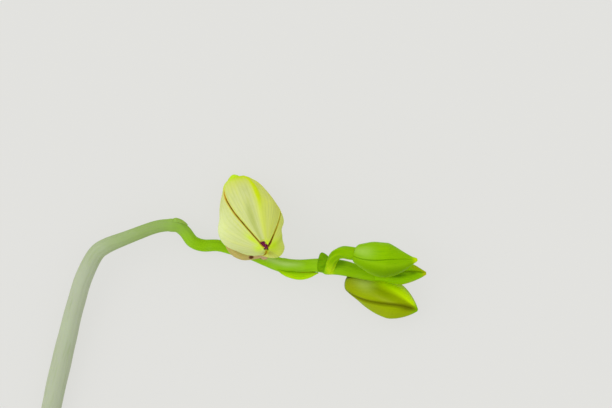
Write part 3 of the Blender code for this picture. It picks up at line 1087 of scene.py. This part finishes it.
def small_relief(ridge, ridge_width, hollow, roll):
    """A relief from a ridge's height and width, the hollow beside it, and the seams' roll."""

    def relief(_, t, across, edge):
        lines = LINE_HEIGHT * fine_lines(t, across, *SMALL_LINES)
        crest = ridge * hump(across, ridge_width)
        sunk = hollow * hump(across - HOLLOW_AT, HOLLOW_WIDTH) * np.sin(np.pi * t)
        return (lines + crest - sunk) * fading(t) + seam_lip(edge, BEAD_HEIGHT, *roll)

    return relief


def small_marks(which, t, across):
    """Where a small sepal's lines run, and which sepal is the first."""
    return {
        "vein": fine_lines(t, across, *SMALL_LINES) * 0.5 + 0.5,
        "first": np.full_like(t, which == 0),
    }


# %% Paint for the small buds
def small_bud_finish(name, colours, blushes, seam_width, seam_strength, seam_fade, rib):
    """Waxy green: a base, lines, a tip, blushes, a ridge and a seam, each with its colour; some blushes are
    painted highlights and shade, the ridge is partly a painted highlight and the seam partly painted shade.
    """
    base, line, tip, seam = colours
    paint = Finish(name, base, {"Roughness": 0.38, **GREEN_SKIN})
    streaks = paint.streaks(2.4)
    paint.lay(line, streaks, 0.45, 0.75, 0.5)
    paint.lay(line, "vein", 0.5, 1.0, 0.16)
    lay_blushes(paint, blushes)
    # The bright line along the ridge: partly its own colour, partly a painted highlight
    if rib:
        width, strength, tint = rib
        across = paint.maths("ABSOLUTE", paint.value("across"), 0.0)
        ridge = paint.times(paint.band(across, width, 0.1, strength), paint.band("along", 0.2, 0.38))
        paint.lay(tint, paint.times(ridge, paint.value("first")))
    paint.lay(tip, "along", 0.84, 0.97, 0.9)
    # A darker line along each seam, partly painted shade where one sepal's edge lies over the next
    dark = paint.times(paint.band("edge", seam_width, 0.03, seam_strength), paint.band("along", *seam_fade))
    paint.lay(seam, dark)
    return paint.done(streaks, 1.5)


# Base, lines, tip and seam of each bud; the seam's dark line is partly painted shade
UPPER_COLOURS = ((133, 182, 0), (114, 165, 0), (194, 220, 6), (100, 150, 0))
TIP_COLOURS = ((134, 186, 0), (116, 166, 0), (186, 184, 10), (96, 124, 0))
LOWER_COLOURS = ((147, 168, 0), (132, 153, 0), (132, 182, 0), (98, 104, 0))
UPPER_BLUSHES = {
    # pale: a painted highlight near the base
    "pale": ((0.11, 0.12, 20, 24), (154, 192, 72), 0.85),
    "under_seam": ((0.4, 0.35, -18, 8), (154, 198, 20), 0.4),
    # low_edge: painted shade, darker on the side that faces down
    "low_edge": ((0.5, 0.4, -50, 30), (100, 140, 0), 0.85),
    "low_rim": ((0.22, 0.12, -86, 16), (150, 192, 20), 0.6),
}
TIP_BLUSHES = {
    "upper_side": ((0.8, 0.14, 60, 26), (156, 164, 0), 0.75),
    "upper_patch": ((0.7, 0.08, 8, 14), (84, 124, 0), 0.75),
    "low_edge": ((0.7, 0.25, -80, 18), (176, 170, 20), 0.6),
    # A painted shadow that the upper bud casts on the tip bud
    "crack": ((0.4, 0.22, -4, 13), (64, 104, 0), 0.85),
}
LOWER_BLUSHES = {
    "heel": ((0.05, 0.1, -20, 60), (144, 156, 10), 0.85),
    # pale: a painted highlight near the base
    "pale": ((0.19, 0.1, 18, 26), (172, 190, 84), 0.75),
    "middle": ((0.42, 0.14, 12, 16), (128, 148, 0), 0.7),
    "fold": ((0.48, 0.2, -8, 7), (158, 172, 40), 0.6),
    "low_side": ((0.5, 0.3, -58, 26), (150, 164, 24), 0.6),
    "low_rim": ((0.65, 0.25, -84, 9), (158, 194, 6), 0.7),
    "right_side": ((0.7, 0.2, 62, 16), (162, 196, 60), 0.6),
    "dark_end": ((0.8, 0.1, -10, 14), (106, 112, 0), 0.6),
}

# %% Build the small buds
SMALL_CELLS = (80, 60)
SMALL_THICK = 0.6
# Form, ends, colours and blushes; width, strength and fading of the seam, whose dark line is
# partly painted shade, and the ridge's width, strength and colour, its bright line partly a
# painted highlight; the relief; and the slot
small_buds = {
    "upper_bud": (
        UPPER_BUD, (0.004, 0.985), UPPER_COLOURS, UPPER_BLUSHES,
        (0.28, 0.6, (0.75, 0.3), None), small_relief(0.05, 0.16, 0.0, (0.08, 0.14)), "green_bud_skin",
    ),
    "lower_bud": (
        LOWER_BUD, (0.0002, 0.985), LOWER_COLOURS, LOWER_BLUSHES,
        (1.2, 0.85, (1.0, 0.86), (0.5, 0.95, (192, 230, 0))), small_relief(0.35, 0.24, 0.2, (0.25, 0.45)),
        "olive_bud_skin",
    ),
    "tip_bud": (
        TIP_BUD, (0.004, 0.97), TIP_COLOURS, TIP_BLUSHES,
        (0.45, 0.7, (1.0, 0.86), None), small_relief(0.05, 0.16, 0.0, (0.14, 0.25)), "green_bud_skin",
    ),
}
for bud_name, (bud, ends, colours, blushes, seams, relief, slot) in small_buds.items():
    paint = small_bud_finish(bud_name + "_skin", colours, blushes, *seams)
    small_form = (bud, SMALL_CELLS, SMALL_THICK, relief, small_marks, blushes)
    for which in range(3):
        add_sepal(f"{bud_name}_sepal_{which + 1}", which, ends, (0, 0), *small_form, paint, slot)

# %% [markdown]
# ## Stalks
#
# The tip bud sits on the end of the stem, and the others on short stalks with six ribs
# that turn slowly round them. The large bud's stalk is tan, pink at its foot, and has
# one dark spot. The stalks stand upright in places, where the direction that faces up
# flips over, so their ribs follow directions that are carried along the curve.

# %% Where the stalks run
LARGE_STALK = (
    (10.6, 21.9, 4.2, 1.3), (9.7, 22.8, 5.5, 1.3),
    (9.3, 23.1, 6.3, 1.35), (7.9, 22.9, 7.0, 1.4),
    (6.0, 22.6, 7.2, 1.45), (3.9, 22.6, 7.1, 1.5),
    (1.8, 23.5, 6.7, 1.5), (0.2, 25.2, 5.8, 1.4),
    (-0.6, 27.9, 4.3, 1.35), (-1.0, 31.4, 2.7, 1.3),
    (-1.0, 35.6, 1.6, 1.28), (-1.0, 39.2, 1.25, 1.25),
    (-0.4, 42.0, 1.6, 1.25), (0.5, 44.1, 2.7, 1.45),
    (1.3, 44.9, 4.1, 1.6), (1.9, 44.4, 5.6, 1.5),
    (2.3, 43.5, 6.5, 1.3),
)
UPPER_STALK = (
    (29.7, 18.3, 9.2, 1.1), (29.9, 19.0, 10.8, 1.2),
    (30.1, 20.1, 12.2, 1.35), (30.5, 21.5, 13.6, 1.5),
    (31.6, 22.9, 15.1, 1.6), (33.4, 23.6, 16.6, 1.75),
    (35.4, 23.4, 18.2, 1.85), (37.2, 23.2, 19.1, 1.8),
)
LOWER_STALK = (
    (36.4, 18.6, 8.3, 0.9), (36.0, 18.3, 6.85, 0.85),
    (35.6, 17.8, 6.5, 0.75), (35.3, 17.2, 6.1, 0.7),
    (35.3, 16.4, 5.7, 0.65), (35.5, 15.6, 5.5, 0.65),
)
STALK_SPACING = 0.2
STALK_SIDES = 48
STALK_RIBS = 6
STALK_TWIST = 0.06
SPOT_PLACE = np.array([6.4, 21.9, 8.4])
SPOT_SIZE = 0.85

# %% Paint for the stalks
TAN = (184, 168, 94)
TAN_STREAK = (156, 138, 76)
PINK = (196, 160, 124)
FRESH_END = (186, 224, 24)
SPOT = (84, 36, 16)
STALK_GREEN = (126, 173, 0)
STALK_STREAK = (108, 156, 0)
STALK_RIDGE = (150, 194, 8)


def stalk_finish(name, base, streak, ridge, foot, end):
    """A base with streaks and ribs, a foot and an end of other colours, and a spot."""
    paint = Finish(name, base, {"Roughness": 0.42, "Subsurface Weight": 0.1, "Subsurface Scale": 0.001})
    streaks = paint.streaks(2.0)
    paint.lay(streak, streaks, 0.4, 0.7, 0.5)
    paint.lay(ridge, "ridge", 0.4, 1.0, 0.45)
    paint.lay(foot, "foot")
    paint.lay(end, "end")
    paint.lay(SPOT, "spot", 0.25, 0.75, 0.95)
    return paint.done(streaks, 1.5)


# %% Build the stalks
# A stalk is widest this far from its end, over this length; its end's colour fades over
# the third; and its streaks are this many times longer than wide
WIDEST_AT = 1.2
WIDE_OVER = 0.8
END_FADE = 4.0
STALK_STRETCH = 8


def add_stalk(name, stations, rib_height, foot_length, widening, finish):
    """A ribbed stalk that may widen a little where it meets the bud."""
    distance, path = even_path(stations, STALK_SPACING)
    distance = distance[:, None] * np.ones(STALK_SIDES)
    turn = all_round(STALK_SIDES)
    ridge = np.cos(STALK_RIBS * turn + STALK_TWIST * STALK_RIBS * distance)
    to_end = distance[-1] - distance
    relief = rib_height * ridge + widening * hump(to_end - WIDEST_AT, WIDE_OVER)
    rows = tube_rows(path, carried(tangents(path)), relief)
    values = {
        "ridge": ridge * 0.5 + 0.5,
        "fibre": fibres_round(path[:, 3:4], turn, distance / STALK_STRETCH),
        "foot": clamp(1.4 - distance / foot_length),
        "end": clamp(1.6 - to_end / END_FADE),
        "spot": hump(np.linalg.norm(rows - SPOT_PLACE, axis=-1), SPOT_SIZE),
    }
    add_piece(name + "_skin", tube_mesh(name + "_skin", rows, values), finish, [name])


tan_paint = stalk_finish("tan_stalk_skin", TAN, TAN_STREAK, TAN, PINK, FRESH_END)
green_paint = stalk_finish("green_stalk_skin", STALK_GREEN, STALK_STREAK, STALK_RIDGE, COLLAR, STALK_GREEN)
add_stalk("large_bud_stalk", LARGE_STALK, 0.05, 5.5, 0.25, tan_paint)
add_stalk("upper_bud_stalk", UPPER_STALK, 0.09, 4.0, 0.0, green_paint)
add_stalk("lower_bud_stalk", LOWER_STALK, 0.06, 4.0, 0.0, green_paint)
